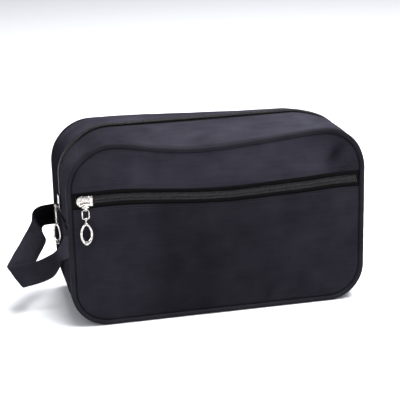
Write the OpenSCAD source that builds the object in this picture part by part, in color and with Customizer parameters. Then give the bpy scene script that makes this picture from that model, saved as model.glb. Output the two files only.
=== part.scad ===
// Wash bag: a zip runs round the top, a zipped pocket lies in the front and a carry loop hangs at one end.
// The origin is the centre of the base, which stands on z = 0. The front faces -Y, the loop is at -X.

/* [Bag] */
// Width over the piping, without the carry loop
bag_w = 260; // [220:1:320]
// Height over the piping
bag_h = 158; // [130:1:200]
// Depth over the piping
bag_d = 106; // [84:1:140]
// Outer radius of the two top corners
top_corner_r = 37; // [30:1:46]
// Outer radius of the two base corners
base_corner_r = 32; // [26:1:40]
// Thickness of the shell fabric with its backing
fabric_t = 1.4; // [1:0.1:2]
// Thickness of the base gusset, which is doubled
base_t = 2; // [1.6:0.1:3]
// Thickness of the lining
lining_t = 0.5; // [0.3:0.1:1]

/* [Piping] */
// Diameter of the piping bead
piping_d = 4.4; // [3:0.2:6]
// Width of the bound seam allowance inside the bag, from the middle of the bead
binding_w = 10; // [7:0.5:13]

/* [Zips] */
// Width of one half of the coil
coil_w = 2.8; // [2.2:0.1:3.4]
// Thickness of the coil
coil_t = 2; // [1.6:0.1:2.6]
// Slot between the two halves of the coil
coil_slot = 0.9; // [0.8:0.1:1.2]
// Width of one half of the zip tape
tape_w = 15; // [13:0.5:18]
// Thickness of the zip tape
tape_t = 0.5; // [0.4:0.1:0.8]
// Width of the window that shows the top zip
top_window = 13; // [10:0.5:16]
// Height at which the top zip ends on both sides
top_zip_end_z = 86; // [70:1:92]
// Height of the top slider where it rests, above the zip's end
top_slider_rise = 11; // [9:0.5:14]

/* [Pocket] */
// Height of the pocket zip above the base
pocket_zip_z = 112.5; // [85:0.5:118]
// Width of the window that shows the pocket zip
pocket_window = 14; // [11:0.5:17]
// Depth of the pocket behind the front panel
pocket_depth = 4.9; // [4.8:0.1:8]
// Distance of the pocket slider from the end of the bag where it rests
pocket_slider_in = 15; // [14:0.5:24]

/* [Sliders] */
// Length of a slider along the zip
slider_l = 13.5; // [11:0.5:16]
// Width of a slider over its shoulders
slider_w = 9.6; // [8:0.2:11]
// Thickness of a slider's two plates
plate_t = 1; // [0.8:0.1:1.4]
// Height of the bail's bar above the middle of the coil
bail_rise = 4.6; // [4.2:0.1:6]
// Diameter of the bail's bar
bail_d = 1.3; // [1:0.1:1.6]

/* [Pulls] */
// Distance between the lug's two eyes
lug_l = 4; // [3.6:0.1:6]
// Width of the lug at its top
lug_w = 6.4; // [5:0.2:8]
// Diameter of the ring's wire
wire_d = 1.1; // [0.8:0.1:1.4]
// Width of the ring between its wire centres
ring_w = 5.6; // [4.6:0.2:8]
// Height of the ring between its wire centres
ring_h = 8; // [6:0.5:11]
// Length of the neck below the ring
neck_l = 3.2; // [2.8:0.1:5]
// Width of the pull
pull_w = 11; // [9:0.5:11.5]
// Height of the pull
pull_h = 20; // [17:0.5:24]
// Thickness of the pull
pull_t = 1.5; // [1:0.1:2]
// Turn of the top zip's pull about its stem, in degrees, as it hangs
top_pull_turn = 30; // [0:5:30]

/* [Carry loop] */
// Width of the carry loop's strap
strap_w = 22; // [16:1:26]
// Thickness of the carry loop's strap
strap_t = 1.6; // [1.2:0.1:2.4]
// Height of the middle of the strap at the seams
strap_z = 68; // [50:1:72]
// Reach of the strap's sewn-down stubs out from the side
stub_l = 7; // [5:0.5:10]
// Reach of the loop beyond the stubs
loop_reach = 37; // [28:1:50]
// Drop of the loop's far fold below the stubs
loop_drop = 33; // [24:1:36]
// Distance in front of the middle at which the front leg leaves the side
front_leg_in = 8; // [7.5:0.5:14]
// Distance from the back seam at which the back leg leaves the side
back_leg_in = 7; // [5:0.5:12]
// Reach of the kink in the back leg beyond the stubs
kink_reach = 13; // [10:0.5:18]
// Distance of that kink behind the middle
kink_y = 39; // [26:1:40]

/* [Hidden] */
$fn = 48;

lay = 0.1;   // gap between layers that are sewn together
run = 0.3;   // gap between faces that move past each other
fit = 0.1;   // radial clearance of a wire in an eye
over = 1;    // how far a cutting solid reaches past what it cuts
strip_gap = 0.8;      // gap between the zip's strips and the piping
panel_recess = 1.6;   // depth of the panels behind the crown of the piping
lining_drop = 8;      // how far below the zip's end the gusset lining ends
coil_end_gap = 3;     // distance from the end of the pocket's tape to the end of its coil

nylon = [0.16, 0.16, 0.18];
nylon_light = [0.24, 0.24, 0.27];
trim_black = [0.09, 0.09, 0.1];
lining_grey = [0.3, 0.3, 0.33];
nickel = [0.78, 0.77, 0.75];

// Depths below the outer surface of the gusset, measured inwards all round the bag
strip_out = 0.6;
strip_in = strip_out + fabric_t;
tape_out = strip_in + lay;
tape_in = tape_out + tape_t;
coil_in = tape_out;
coil_out = coil_in - coil_t;
chain_depth = (coil_in + coil_out) / 2;
coil_edge = coil_slot / 2 + coil_w;
panel_inset = piping_d + lay;
binding_inset = panel_inset + binding_w - piping_d / 2;

// Places along Y, as distances from the middle of the bag
bead_y = bag_d / 2 - piping_d / 2;
bead_in_y = bag_d / 2 - piping_d;
gusset_y = bead_in_y - lay;
strip_y = bead_in_y - strip_gap;
panel_out_y = bag_d / 2 - panel_recess;
panel_in_y = panel_out_y - fabric_t;
backing_out_y = panel_in_y - pocket_depth;
backing_in_y = backing_out_y - lining_t;
binding_out_y = panel_in_y - lay;
binding_in_y = backing_out_y + lay;
binding_step_y = bead_in_y - 2 * lay;

// The chain of the pocket zip: its middle plane and its ends
pocket_chain_y = panel_in_y - lay + coil_t / 2;
pocket_tape_end = bag_w / 2 - panel_inset - 2 * lay;
pocket_coil_end = pocket_tape_end - coil_end_gap;
pocket_slider_x = -(bag_w / 2 - pocket_slider_in);

// The straight top of the bag, which opens as two flaps
flap_end = bag_w / 2 - top_corner_r;
top_slider_z = top_zip_end_z + top_slider_rise;

// Parts of a slider and of the pull that hangs from it
web_t = 0.4;
web_l = 6;
shoulder_r = slider_w / 2;
shoulder_u = slider_l / 2 - shoulder_r;
lip_t = 0.7;
lip_drop = 0.8;
lip_back = 2;
nose_w = 2 * (coil_edge + run + lip_t);
plate_out = coil_t / 2 + run - lay;
plate_back = coil_t / 2 + tape_t + run;
notch_y = pocket_chain_y - plate_back - plate_t - run;
bail_drop = 2.6;
bail_half = 3;
eye_wall = 0.6;
eye_half = bail_half - bail_d / 2 - run;
small_eye_half = 0.9;
small_eye_r = wire_d / 2 + fit;
ring_corner_r = ring_w / 2 - small_eye_half - fit;
lug_t = 1;
lug_shoulder = 0.9;
eye_gap = 0.15;
lug_eye_q = -bail_drop - lug_l;
ring_low_q = lug_eye_q - ring_h;
neck_end_q = ring_low_q - neck_l;
neck_d = 1.4;
pull_top_r = 0.42 * pull_w;
pull_hole_r = pull_w / 4;
pull_hole_rise = 0.8;

// The carry loop: the hinge line of its two legs, and the slope down to the far fold
side_x = -bag_w / 2;
strap_in_x = side_x - lay;
strap_out_x = strap_in_x - strap_t;
hinge_x = strap_in_x - stub_l;
back_leg_y = bag_d / 2 - back_leg_in;
slope = loop_drop / loop_reach;

// Outline of the bag seen from the front, moved inwards by a given depth
module outline(inset) {
    w = bag_w / 2 - inset;
    rt = top_corner_r - inset;
    rb = base_corner_r - inset;
    top = bag_h - inset;
    translate([-w, inset + rb]) square([2 * w, top - rt - inset - rb]);
    translate([-w + rb, inset]) square([2 * (w - rb), rb + over]);
    translate([-w + rt, top - rt - over]) square([2 * (w - rt), rt + over]);
    for (s = [-1, 1]) {
        translate([s * (w - rb), inset + rb]) circle(rb);
        translate([s * (w - rt), top - rt]) circle(rt);
    }
}

// A flat sheet of that outline, from y0 to y1
module sheet(inset, y0, y1) {
    rotate([90, 0, 0]) translate([0, 0, -y1]) linear_extrude(y1 - y0) outline(inset);
}

// A band round the bag between two depths, from y0 to y1
module band(outer, inner, y0, y1) {
    rotate([90, 0, 0]) translate([0, 0, -y1]) linear_extrude(y1 - y0) difference() {
        outline(outer);
        outline(inner);
    }
}

// A box given by its two corners
module block(low, high) {
    translate(low) cube([high[0] - low[0], high[1] - low[1], high[2] - low[2]]);
}

// The stretch of a band over the straight top
module top_run(outer, inner, y0, y1) {
    half = flap_end - run / 2;
    block([-half, y0, bag_h - inner], [half, y1, bag_h - outer]);
}

// The stretches of a band round the top corners and down both sides to the end of the top zip
module end_runs(outer, inner, y0, y1) {
    difference() {
        band(outer, inner, y0, y1);
        block([-flap_end - run / 2, y0 - over, bag_h / 2], [flap_end + run / 2, y1 + over, bag_h + over]);
        block([-bag_w, y0 - over, -over], [bag_w, y1 + over, top_zip_end_z + lay]);
    }
}

// The piping bead: straight stretches and quarter rings on its centre line
module piping(y) {
    r = piping_d / 2;
    rt = top_corner_r - r;
    rb = base_corner_r - r;
    w = bag_w / 2 - r;
    top = bag_h - r;
    translate([0, y, 0]) {
        translate([-w + rb, 0, r]) rotate([0, 90, 0]) cylinder(h = 2 * (w - rb), r = r);
        translate([-w + rt, 0, top]) rotate([0, 90, 0]) cylinder(h = 2 * (w - rt), r = r);
        for (s = [-1, 1]) translate([s * w, 0, r + rb]) cylinder(h = top - rt - r - rb, r = r);
        quarter_ring([w - rt, 0, top - rt], 0, rt, r);
        quarter_ring([-w + rt, 0, top - rt], 90, rt, r);
        quarter_ring([-w + rb, 0, r + rb], 180, rb, r);
        quarter_ring([w - rb, 0, r + rb], 270, rb, r);
    }
}

// A quarter of a ring that stands upright, from the given angle on
module quarter_ring(centre, start, ring_r, wire_r) {
    translate(centre) rotate([90, 0, 0]) rotate([0, 0, start])
        rotate_extrude(angle = 90) translate([ring_r, 0]) circle(wire_r);
}

module front_piping() {
    color(trim_black) piping(-bead_y);
}

module back_piping() {
    color(trim_black) piping(bead_y);
}

// The seam allowances of panel, piping and gusset, bound together inside the seam
module binding() {
    difference() {
        union() {
            band(panel_inset + lay, binding_inset, binding_step_y - lay, binding_out_y);
            band(strip_in + lay, binding_inset, binding_in_y, binding_step_y);
        }
        children();
    }
}

// The front binding makes room for the ends of the pocket zip and for its slider
module front_binding() {
    color(trim_black) mirror([0, 1, 0]) binding() {
        reach = binding_inset + over;
        half = tape_w + coil_slot;
        for (s = [-1, 1]) translate([s * bag_w / 2, 0, pocket_zip_z])
            block([-reach, notch_y, -half], [reach, bag_d / 2, half]);
    }
}

module back_binding() {
    color(trim_black) binding();
}

module back_panel() {
    color(nylon) sheet(panel_inset, panel_in_y, panel_out_y);
}

module front_upper_panel() {
    color(nylon) intersection() {
        sheet(panel_inset, -panel_out_y, -panel_in_y);
        block([-bag_w, -bag_d, pocket_zip_z + pocket_window / 2], [bag_w, 0, bag_h]);
    }
}

module pocket_panel() {
    color(nylon) intersection() {
        sheet(panel_inset, -panel_out_y, -panel_in_y);
        block([-bag_w, -bag_d, 0], [bag_w, 0, pocket_zip_z - pocket_window / 2]);
    }
}

module pocket_backing() {
    color(lining_grey) sheet(strip_in + 2 * lay, -backing_out_y, -backing_in_y);
}

module base_gusset() {
    color(nylon_light) difference() {
        band(0, base_t, -gusset_y, gusset_y);
        block([-bag_w, -bag_d, top_zip_end_z], [bag_w, bag_d, bag_h + over]);
    }
}

module end_strips_front() {
    color(nylon_light) end_runs(strip_out, strip_in, -strip_y, -top_window / 2);
}

module end_strips_back() {
    color(nylon_light) end_runs(strip_out, strip_in, top_window / 2, strip_y);
}

module top_strip_front() {
    color(nylon_light) top_run(strip_out, strip_in, -strip_y, -top_window / 2);
}

module top_strip_back() {
    color(nylon_light) top_run(strip_out, strip_in, top_window / 2, strip_y);
}

module end_tape_front() {
    color(trim_black) end_runs(tape_out, tape_in, -tape_w - coil_slot / 2, -coil_slot / 2);
}

module end_tape_back() {
    color(trim_black) end_runs(tape_out, tape_in, coil_slot / 2, tape_w + coil_slot / 2);
}

module top_tape_front() {
    color(trim_black) top_run(tape_out, tape_in, -tape_w - coil_slot / 2, -coil_slot / 2);
}

module top_tape_back() {
    color(trim_black) top_run(tape_out, tape_in, coil_slot / 2, tape_w + coil_slot / 2);
}

module end_coil_front() {
    color(trim_black) end_runs(coil_out, coil_in, -coil_edge, -coil_slot / 2);
}

module end_coil_back() {
    color(trim_black) end_runs(coil_out, coil_in, coil_slot / 2, coil_edge);
}

module top_coil_front() {
    color(trim_black) top_run(coil_out, coil_in, -coil_edge, -coil_slot / 2);
}

module top_coil_back() {
    color(trim_black) top_run(coil_out, coil_in, coil_slot / 2, coil_edge);
}

module back_lining() {
    color(lining_grey) sheet(binding_inset + lay, panel_in_y - lay - lining_t, panel_in_y - lay);
}

module gusset_lining() {
    color(lining_grey) difference() {
        band(base_t + lay, base_t + lay + lining_t, -backing_in_y + lay, binding_in_y - lay);
        block([-bag_w, -bag_d, top_zip_end_z - lining_drop], [bag_w, bag_d, bag_h + over]);
    }
}

// One half of the pocket zip's tape, above (side 1) or below (side -1) the coil
module pocket_tape(side) {
    low = side > 0 ? coil_slot / 2 : -coil_slot / 2 - tape_w;
    color(trim_black) translate([0, -panel_in_y + lay, pocket_zip_z])
        block([-pocket_tape_end, 0, low], [pocket_tape_end, tape_t, low + tape_w]);
}

// One half of the pocket zip's coil
module pocket_coil(side) {
    low = side > 0 ? coil_slot / 2 : -coil_edge;
    color(trim_black) translate([0, -panel_in_y + lay, pocket_zip_z])
        block([-pocket_coil_end, -coil_t, low], [pocket_coil_end, 0, low + coil_w]);
}

module pocket_tape_upper() {
    pocket_tape(1);
}

module pocket_tape_lower() {
    pocket_tape(-1);
}

module pocket_coil_upper() {
    pocket_coil(1);
}

module pocket_coil_lower() {
    pocket_coil(-1);
}

// Hanging frames of the two pulls: x across, y up and z out of the bag, from the middle of the slider
module at_pocket_slider() {
    translate([pocket_slider_x, -pocket_chain_y, pocket_zip_z]) rotate([90, 0, 0]) children();
}

module at_top_slider() {
    translate([side_x + chain_depth, 0, top_slider_z]) rotate([90, 0, -90]) children();
}

// Shape of a slider's plate: round shoulders at one end and a straight nose at the other
module slider_plate() {
    linear_extrude(plate_t) {
        translate([-shoulder_u, 0]) circle(shoulder_r);
        translate([-shoulder_u, -nose_w / 2]) square([slider_l / 2 + shoulder_u, nose_w]);
    }
}

// A slider along x: two plates round the coil, lips on the upper plate and a web in the coil's slot
module slider() {
    lip_in = nose_w / 2 - lip_t;
    translate([0, 0, plate_out]) slider_plate();
    translate([0, 0, -plate_back - plate_t]) slider_plate();
    translate([-web_l / 2, -web_t / 2, -plate_back - plate_t / 2])
        cube([web_l, web_t, plate_back + plate_out + plate_t]);
    for (s = [-1, 1]) translate([-lip_back, s > 0 ? lip_in : -lip_in - lip_t, plate_out - lip_drop])
        cube([slider_l / 2 + lip_back - over, lip_t, lip_drop + plate_t / 2]);
}

// The bail: a bar across two posts, which the lug hangs on
module bail() {
    r = bail_d / 2;
    translate([0, -bail_drop, 0]) {
        translate([-bail_half, 0, bail_rise]) rotate([0, 90, 0]) cylinder(h = 2 * bail_half, r = r);
        for (s = [-1, 1]) translate([s * bail_half, 0, 0]) {
            translate([0, 0, plate_out + plate_t]) cylinder(h = bail_rise - plate_out - plate_t, r = r);
            translate([0, 0, bail_rise]) sphere(r);
        }
    }
}

// An eye round an axis along x
module eye(bore_r, half) {
    rotate([0, 90, 0]) difference() {
        cylinder(h = 2 * half, r = bore_r + eye_wall, center = true);
        cylinder(h = 2 * half + 2 * over, r = bore_r, center = true);
    }
}

// The lug: a wide eye on the bail, a plate that narrows downwards and a small eye for the ring
module lug() {
    big_r = bail_d / 2 + fit;
    top = -bail_drop - big_r - eye_gap;
    low = lug_eye_q + small_eye_r + eye_gap;
    translate([0, -bail_drop, bail_rise]) eye(big_r, eye_half);
    translate([0, lug_eye_q, bail_rise]) eye(small_eye_r, small_eye_half);
    translate([0, 0, bail_rise - lug_t / 2]) linear_extrude(lug_t)
        polygon([[-eye_half, top], [-lug_w / 2, top - lug_shoulder], [-small_eye_half, low],
                 [small_eye_half, low], [lug_w / 2, top - lug_shoulder], [eye_half, top]]);
}

// The ring: a wire bent to a rounded rectangle
module ring() {
    r = wire_d / 2;
    w = ring_w / 2;
    c = ring_corner_r;
    translate([0, lug_eye_q - ring_h / 2, bail_rise]) {
        for (s = [-1, 1]) {
            translate([-w + c, s * ring_h / 2, 0]) rotate([0, 90, 0]) cylinder(h = 2 * (w - c), r = r);
            translate([s * w, ring_h / 2 - c, 0]) rotate([90, 0, 0]) cylinder(h = ring_h - 2 * c, r = r);
        }
        for (k = [0:3]) {
            a = 90 * k;
            sx = (k == 0 || k == 3) ? 1 : -1;
            sy = k < 2 ? 1 : -1;
            translate([sx * (w - c), sy * (ring_h / 2 - c), 0]) rotate([0, 0, a])
                rotate_extrude(angle = 90) translate([c, 0]) circle(r);
        }
    }
}

// The neck: an eye on the ring and a short stem down to the pull
module neck() {
    translate([0, ring_low_q, bail_rise]) eye(small_eye_r, small_eye_half);
    translate([0, neck_end_q, bail_rise]) rotate([-90, 0, 0])
        cylinder(h = ring_low_q - small_eye_r - eye_gap - neck_end_q, r = neck_d / 2);
}

// The pull: a flat drop with a long hole, blunt at the top and pointed at the bottom
module pull() {
    a = pull_w / 2;
    b = pull_h / 2;
    arc_r = (a * a + b * b) / (2 * a);
    r = pull_hole_r;
    translate([0, neck_end_q - b, bail_rise - pull_t / 2]) linear_extrude(pull_t) difference() {
        union() {
            intersection_for(s = [-1, 1]) translate([s * (arc_r - a), 0]) circle(arc_r, $fn = 96);
            translate([0, b - pull_top_r]) circle(pull_top_r);
        }
        for (s = [-1, 1]) translate([0, s * r + pull_hole_rise]) circle(r);
        translate([-r, -r + pull_hole_rise]) square([2 * r, 2 * r]);
    }
}

module pocket_slider() {
    color(nickel) at_pocket_slider() slider();
}

module pocket_slider_bail() {
    color(nickel) at_pocket_slider() bail();
}

module pocket_lug() {
    color(nickel) at_pocket_slider() lug();
}

module pocket_ring() {
    color(nickel) at_pocket_slider() ring();
}

module pocket_neck() {
    color(nickel) at_pocket_slider() neck();
}

module pocket_pull() {
    color(nickel) at_pocket_slider() pull();
}

module top_slider() {
    color(nickel) at_top_slider() rotate([0, 0, 90]) slider();
}

module top_slider_bail() {
    color(nickel) at_top_slider() bail();
}

module top_lug() {
    color(nickel) at_top_slider() lug();
}

module top_ring() {
    color(nickel) at_top_slider() ring();
}

module top_neck() {
    color(nickel) at_top_slider() neck();
}

module top_pull() {
    color(nickel) at_top_slider() translate([0, 0, bail_rise]) rotate([0, top_pull_turn, 0])
        translate([0, 0, -bail_rise]) pull();
}

// The strap's front end: flat on the side from the front seam, then turned outwards
module strap_tab_front() {
    low = strap_z - strap_w / 2;
    high = strap_z + strap_w / 2;
    leg_y = -front_leg_in - strap_t / 2;
    color(nylon) {
        block([strap_out_x, -gusset_y, low], [strap_in_x, leg_y + strap_t, high]);
        block([hinge_x + run, leg_y, low], [strap_out_x + lay, leg_y + strap_t, high]);
    }
}

// The strap's back end: out of the back seam and turned outwards at once
module strap_tab_back() {
    low = strap_z - strap_w / 2;
    high = strap_z + strap_w / 2;
    leg_y = back_leg_y - strap_t / 2;
    color(nylon) {
        block([strap_out_x, leg_y, low], [strap_in_x, gusset_y, high]);
        block([hinge_x + run, leg_y, low], [strap_out_x + lay, leg_y + strap_t, high]);
    }
}

// The normal of a step, to its left
function left_of(step) = [-step[1], step[0]] / norm(step);

// Normals of a route before and after its point i
function normal_in(route, i) = left_of(route[max(i, 1)] - route[max(i, 1) - 1]);
function normal_out(route, i) = left_of(route[min(i, len(route) - 2) + 1] - route[min(i, len(route) - 2)]);

// Point i of a route moved sideways, so that the strip keeps its thickness round a mitred corner
function mitre(n1, n2) = (n1 + n2) / (1 + n1 * n2);
function beside(route, i, d) = route[i] + d * mitre(normal_in(route, i), normal_out(route, i));

// A strip of even thickness along a route, seen from above
module strip_line(route, t) {
    last = len(route) - 1;
    polygon(concat([for (i = [0:last]) beside(route, i, t / 2)],
                   [for (i = [last:-1:0]) beside(route, i, -t / 2)]));
}

// The loop's side view: a band that slopes down to the far fold.
// It is cut away above the hinge line, so that the loop can be lifted past the stubs.
module loop_side_view() {
    half = strap_w / 2;
    cut = half / slope + over;
    end = loop_reach + strap_t;
    polygon([[0, -half], [-end, -slope * end - half], [-end, -slope * end + half],
             [-cut, -slope * cut + half], [0, 0]]);
}

// The loop: front leg, far fold, long back leg, kink and short back leg
module strap_loop() {
    front_y = -front_leg_in;
    route = [[strap_t, front_y], [-loop_reach, front_y], [-kink_reach, kink_y], [strap_t, back_leg_y]];
    color(nylon) translate([hinge_x, 0, strap_z]) intersection() {
        translate([0, 0, -bag_h]) linear_extrude(2 * bag_h) strip_line(route, strap_t);
        rotate([90, 0, 0]) linear_extrude(2 * bag_d, center = true) loop_side_view();
    }
}

front_piping();
back_piping();
front_binding();
back_binding();
back_panel();
front_upper_panel();
pocket_panel();
pocket_backing();
base_gusset();
end_strips_front();
end_strips_back();
top_strip_front();
top_strip_back();
end_tape_front();
end_tape_back();
top_tape_front();
top_tape_back();
end_coil_front();
end_coil_back();
top_coil_front();
top_coil_back();
back_lining();
gusset_lining();
pocket_tape_upper();
pocket_tape_lower();
pocket_coil_upper();
pocket_coil_lower();
pocket_slider();
pocket_slider_bail();
pocket_lug();
pocket_ring();
pocket_neck();
pocket_pull();
top_slider();
top_slider_bail();
top_lug();
top_ring();
top_neck();
top_pull();
strap_tab_front();
strap_tab_back();
strap_loop();
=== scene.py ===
import math

import bmesh
import bpy
import numpy as np
from mathutils import Matrix, Vector, noise


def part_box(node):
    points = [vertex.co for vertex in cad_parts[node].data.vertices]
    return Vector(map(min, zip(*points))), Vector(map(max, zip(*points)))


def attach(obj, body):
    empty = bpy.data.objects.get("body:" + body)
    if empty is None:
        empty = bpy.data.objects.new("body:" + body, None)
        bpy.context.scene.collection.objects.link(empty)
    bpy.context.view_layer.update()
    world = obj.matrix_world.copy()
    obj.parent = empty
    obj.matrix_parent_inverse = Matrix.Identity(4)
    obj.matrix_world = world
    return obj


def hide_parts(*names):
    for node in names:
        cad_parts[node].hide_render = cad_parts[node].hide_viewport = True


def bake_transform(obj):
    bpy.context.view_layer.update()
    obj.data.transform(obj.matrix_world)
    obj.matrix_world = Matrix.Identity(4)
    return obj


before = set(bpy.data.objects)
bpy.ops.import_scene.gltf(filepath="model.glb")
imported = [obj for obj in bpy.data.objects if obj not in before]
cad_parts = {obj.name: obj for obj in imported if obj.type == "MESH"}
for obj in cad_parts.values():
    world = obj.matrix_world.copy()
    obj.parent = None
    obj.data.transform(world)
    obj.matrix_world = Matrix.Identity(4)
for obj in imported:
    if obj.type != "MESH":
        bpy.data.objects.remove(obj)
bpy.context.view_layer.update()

MM = 0.001

# Sizes that the frame gives
BEAD_LOW, BEAD_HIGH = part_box("front_piping")
BAG_W = BEAD_HIGH.x - BEAD_LOW.x
BAG_H = BEAD_HIGH.z
BEAD_R = (BEAD_HIGH.y - BEAD_LOW.y) / 2
BEAD_Y = -(BEAD_HIGH.y + BEAD_LOW.y) / 2
FLAP_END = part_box("top_strip_front")[1].x
TOP_R = BAG_W / 2 - FLAP_END
ZIP_END_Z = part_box("base_gusset")[1].z
STRIP_EDGE_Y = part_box("top_strip_back")[0].y
TAPE_EDGE_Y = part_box("top_tape_back")[1].y
PANEL_Y = -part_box("pocket_panel")[0].y
WINDOW_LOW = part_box("pocket_panel")[1].z
WINDOW_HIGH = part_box("front_upper_panel")[0].z
POCKET_ZIP_Z = (WINDOW_LOW + WINDOW_HIGH) / 2
POCKET_TAPE_Y = -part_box("pocket_tape_upper")[0].y
POCKET_TAPE_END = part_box("pocket_tape_upper")[1].x
POCKET_COIL_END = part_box("pocket_coil_upper")[1].x
BACKING_Y = -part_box("pocket_backing")[0].y
STRAP_LOW, STRAP_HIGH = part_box("strap_tab_back")
STRAP_W = STRAP_HIGH.z - STRAP_LOW.z

# Sizes of the cloth, its seams and the zips
BASE_R = 32 * MM
CLOTH_T = 0.45 * MM
GUSSET_T = 1.2 * MM
HEM_R = 0.45 * MM
HEM_TURN = 4 * MM
STITCH_IN = 2.7 * MM
CRISP_ANGLE = math.radians(50)
STITCH_PITCH = 3 * MM
STITCH_LENGTH = 2.2 * MM
THREAD_D = 0.42 * MM
STRIP_DEPTH = 0.6 * MM
TAPE_DEPTH = 2.1 * MM
TAPE_W = 14 * MM
TAPE_T = 0.4 * MM
TAPE_GAP = 0.3 * MM
LINING_DEPTH = 3.2 * MM
LINING_T = 0.3 * MM
COIL_PITCH = 1.45 * MM
COIL_WIRE = 0.42 * MM
COIL_HALF = 1.75 * MM
COIL_HIGH = 0.95 * MM
COIL_MESH = 0.25 * MM
COIL_RISE = 1 * MM
BINDING_HALF = 3.9 * MM
BINDING_T = 3 * MM
BINDING_Y = 47.8 * MM
SEAM_ZONE_Y = 38 * MM
FLAP_FULL_X = 30 * MM


# Shapes of curves that the pieces share
def clamp(t):
    return max(0.0, min(1.0, t))


def ease(t):
    t = clamp(t)
    return t * t * (3 - 2 * t)


def hump(x, middle, left, right):
    """1 at the middle, falling to 0 at the given distances to its left and right"""
    reach = left if x < middle else right
    return math.cos(math.pi / 2 * min(1.0, abs(x - middle) / reach)) ** 2


def bell(t, width):
    return math.exp(-(t / width) ** 2)


def dense_ends(t, share=0.85):
    """Spreads rows so that they lie closer together towards both ends"""
    return t - share * math.sin(2 * math.pi * t) / (2 * math.pi)


def rises(table, place):
    """Adds up rounded rises: each has a height, a middle and its reach to both sides, in millimetres"""
    return sum(height * MM * hump(place, middle * MM, below * MM, above * MM)
               for height, middle, below, above in table)


def knots(*pairs):
    """A mapping that goes straight from one stop to the next: each is a place and the value there"""
    ins = [a for a, _ in pairs]
    outs = [b for _, b in pairs]
    return lambda t: float(np.interp(t, ins, outs))


def knots_mm(*pairs):
    """The same, with the places in millimetres"""
    return knots(*((a * MM, b) for a, b in pairs))


# The bag's outline, seen from the front
def half_width(z, depth):
    """Half of the outline's width at height z, at a depth below the outer surface"""
    over = max(z - (BAG_H - TOP_R), 0)
    under = max(BASE_R - z, 0)
    r = (TOP_R if over > 0 else BASE_R) - depth
    beyond = max(over, under)
    corner = r - math.sqrt(max(r * r - beyond * beyond, 0)) if beyond > 0 else 0
    return BAG_W / 2 - depth - corner


def depth_at(x, z):
    """Depth of a place below the outline"""
    x = abs(x)
    cx_top, cz_top = BAG_W / 2 - TOP_R, BAG_H - TOP_R
    cx_base = BAG_W / 2 - BASE_R
    if x > cx_top and z > cz_top:
        return TOP_R - math.hypot(x - cx_top, z - cz_top)
    if x > cx_base and z < BASE_R:
        return BASE_R - math.hypot(x - cx_base, z - BASE_R)
    return min(BAG_W / 2 - x, BAG_H - z, z)


BASE_RUN = BAG_W / 2 - BASE_R
BASE_ARC = BASE_R * math.pi / 2
SIDE_RUN = BAG_H - TOP_R - BASE_R
TOP_ARC = TOP_R * math.pi / 2
HALF_RIM = BASE_RUN + BASE_ARC + SIDE_RUN + TOP_ARC + BAG_W / 2 - TOP_R


def rim(s, depth, y):
    """The place at a distance s round the outline from the middle of the base, to +X or, if below 0, to -X"""
    side = 1 if s >= 0 else -1
    t = abs(s)
    if t < BASE_RUN:
        x, z, nx, nz = t, 0.0, 0.0, -1.0
    elif t < BASE_RUN + BASE_ARC:
        a = (t - BASE_RUN) / BASE_R
        nx, nz = math.sin(a), -math.cos(a)
        x, z = BASE_RUN + BASE_R * nx, BASE_R + BASE_R * nz
    elif t < BASE_RUN + BASE_ARC + SIDE_RUN:
        x, z, nx, nz = BAG_W / 2, BASE_R + t - BASE_RUN - BASE_ARC, 1.0, 0.0
    elif t < BASE_RUN + BASE_ARC + SIDE_RUN + TOP_ARC:
        a = (t - BASE_RUN - BASE_ARC - SIDE_RUN) / TOP_R
        nx, nz = math.cos(a), math.sin(a)
        x, z = BAG_W / 2 - TOP_R + TOP_R * nx, BAG_H - TOP_R + TOP_R * nz
    else:
        x, z, nx, nz = HALF_RIM - t, BAG_H, 0.0, 1.0
    return Vector((side * (x - nx * depth), y, z - nz * depth))


def over_top(r, depth, y):
    """The same, at a distance r from the middle of the top"""
    side = 1 if r >= 0 else -1
    return rim(side * (HALF_RIM - abs(r)), depth, y)


def top_run(z):
    """Distance along the outline from the middle of the top down to height z on the side"""
    return HALF_RIM - BASE_RUN - BASE_ARC - (z - BASE_R)


# How the soft bag slumps: the sags of the front and the back seam along X, and other heights
FRONT_SAGS = [(7.8, -14, 84, 120), (-2.2, -88, 30, 40)]
BACK_SAGS = [(6.2, 96, 180, 36), (6.5, 116, 32, 26)]
CREST = 5 * MM
CREST_X = (-120 * MM, 107 * MM)
CROWN_Z = 128 * MM
DROOP = 3 * MM
END_LIFT = 1.3 * MM
SIDE_PUFF = 1.8 * MM
PUFF = 0.45 * MM


def ripple(p, scale, amount):
    return amount * noise.noise(Vector(p) / scale)


def soften(p):
    """Where a place of the ideal bag lies once the fabric has sagged"""
    x, y, z = p
    front = clamp(0.5 - y / (2 * BEAD_Y))
    sag_f = rises(FRONT_SAGS, x)
    sag_b = rises(BACK_SAGS, x)
    high = clamp(z / BAG_H) ** 3
    # the zip stands up as a crest between the sagging seams
    crown = ease((z - CROWN_Z) / (28 * MM))
    along = ease((x - CREST_X[0]) / (36 * MM)) * ease((CREST_X[1] - x) / (30 * MM))
    crest = CREST * along + (sag_f + sag_b) / 2
    # the pocket's zip bows down towards its loose end, and rises again where it is sewn in there
    bow = DROOP * ease((x + 60 * MM) / (80 * MM)) - END_LIFT * ease((x - 70 * MM) / (40 * MM))
    droop = bow * hump(z, POCKET_ZIP_Z, 60 * MM, 32 * MM) * front
    dz = crest * 4 * front * (1 - front) * crown - high * (sag_f * front + sag_b * (1 - front)) - droop
    # the loose end puffs out, the end with the slider stays flat
    side = ease((abs(x) - 100 * MM) / (30 * MM)) * hump(z, 75 * MM, 75 * MM, 80 * MM)
    side *= hump(y, 0, BEAD_Y, BEAD_Y)
    dx = SIDE_PUFF * side if x > 0 else 0.25 * SIDE_PUFF * side
    return Vector((x + dx, y, z + dz))


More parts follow.
